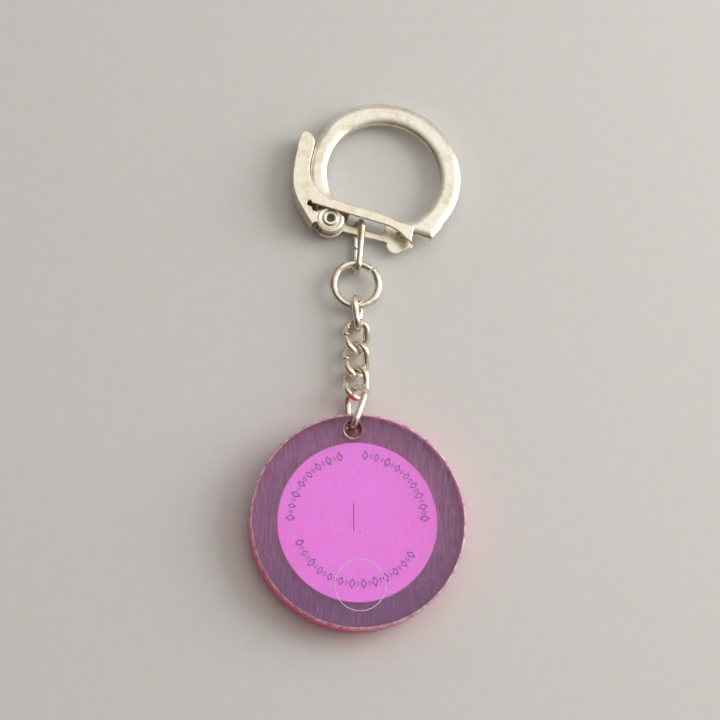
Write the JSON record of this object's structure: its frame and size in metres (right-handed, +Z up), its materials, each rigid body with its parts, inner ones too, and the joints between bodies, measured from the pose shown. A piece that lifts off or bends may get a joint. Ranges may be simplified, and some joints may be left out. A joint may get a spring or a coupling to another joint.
{
  "type": "keychain",
  "caption": "Snap ring with a sprung gate, connector link, split jump ring, short curb chain and end link carrying a clear round plastic disc that holds paper labels.",
  "frame": {"origin": "middle of the bounding box, on the surface that the keychain lies on", "axes": "+Y along the keychain from the disc to the snap ring, +X to the right, +Z up out of the disc's front face"},
  "size_m": [0.0362, 0.0934, 0.0077],
  "materials": {
    "ring_nickel": "nickel plate, softly worn, warm",
    "gate_nickel": "nickel plate on pressed sheet, fine streaks",
    "rivet_nickel": "nickel plate, dull in the eyelet",
    "spring_steel": "drawn spring wire",
    "chain_nickel": "nickel plate on wire, bright where it is worn",
    "magenta_plastic": "see-through magenta polystyrene, fine scratches, worn rim",
    "pink_paper": "printed paper, behind plastic"
  },
  "bodies": {
    "disc": {"disc_front": "magenta_plastic", "disc_back": "magenta_plastic", "label_front": "pink_paper", "label_back": "pink_paper"},
    "end_link": {"end_link": "chain_nickel"},
    "link_4": {"chain_link_4": "chain_nickel"},
    "link_3": {"chain_link_3": "chain_nickel"},
    "link_2": {"chain_link_2": "chain_nickel"},
    "link_1": {"chain_link_1": "chain_nickel"},
    "jump_ring": {"jump_ring": "chain_nickel"},
    "connector": {"connector_link": "chain_nickel"},
    "gate": {"gate_lever": "gate_nickel"},
    "ring": {"ring_body": "ring_nickel", "pivot_rivet": "rivet_nickel", "torsion_spring": "spring_steel"}
  },
  "joints": [
    {"name": "end_link_swing", "type": "hinge", "parent": "disc", "child": "end_link", "pos_m": [-0.00108, -0.01333, 0.00376], "axis": [0, -0.0444, 0.999], "range_deg": [-40, 40]},
    {"name": "link_4_swing", "type": "hinge", "parent": "end_link", "child": "link_4", "pos_m": [-0.00012, -0.00571, 0.00384], "axis": [0.5248, -0.0738, 0.848], "range_deg": [-30, 24]},
    {"name": "link_3_swing", "type": "hinge", "parent": "link_4", "child": "link_3", "pos_m": [-0.00019, -0.00318, 0.00194], "axis": [0.6691, 0, -0.7431], "range_deg": [-25, 45]},
    {"name": "link_2_swing", "type": "hinge", "parent": "link_3", "child": "link_2", "pos_m": [-0.00015, 0.00096, 0.00214], "axis": [0.6691, 0, -0.7431], "range_deg": [-40, 15]},
    {"name": "link_1_swing", "type": "hinge", "parent": "link_2", "child": "link_1", "pos_m": [0.00003, 0.00502, 0.00234], "axis": [0.0698, 0, -0.9976], "range_deg": [-30, 40]},
    {"name": "jump_ring_lift", "type": "hinge", "parent": "link_1", "child": "jump_ring", "pos_m": [-0.00019, 0.00918, 0.00232], "axis": [1, 0, 0], "range_deg": [-10, 60]},
    {"name": "connector_swing", "type": "hinge", "parent": "jump_ring", "child": "connector", "pos_m": [-0.0001, 0.01548, 0.00196], "axis": [0.1044, -0.0055, 0.9945], "range_deg": [-15, 45]},
    {"name": "clasp_flip", "type": "hinge", "parent": "connector", "child": "gate", "pos_m": [0.00013, 0.02277, 0.00168], "axis": [0.9636, -0.267, 0.0117], "range_deg": [-5, 35]},
    {"name": "gate_opening", "type": "hinge", "parent": "gate", "child": "ring", "pos_m": [-0.00484, 0.02436, 0.00238], "axis": [0, 0.0436, 0.999], "range_deg": [0, 8], "stiffness_Nm_per_rad": 0.004, "springref_deg": -20.05}
  ]
}
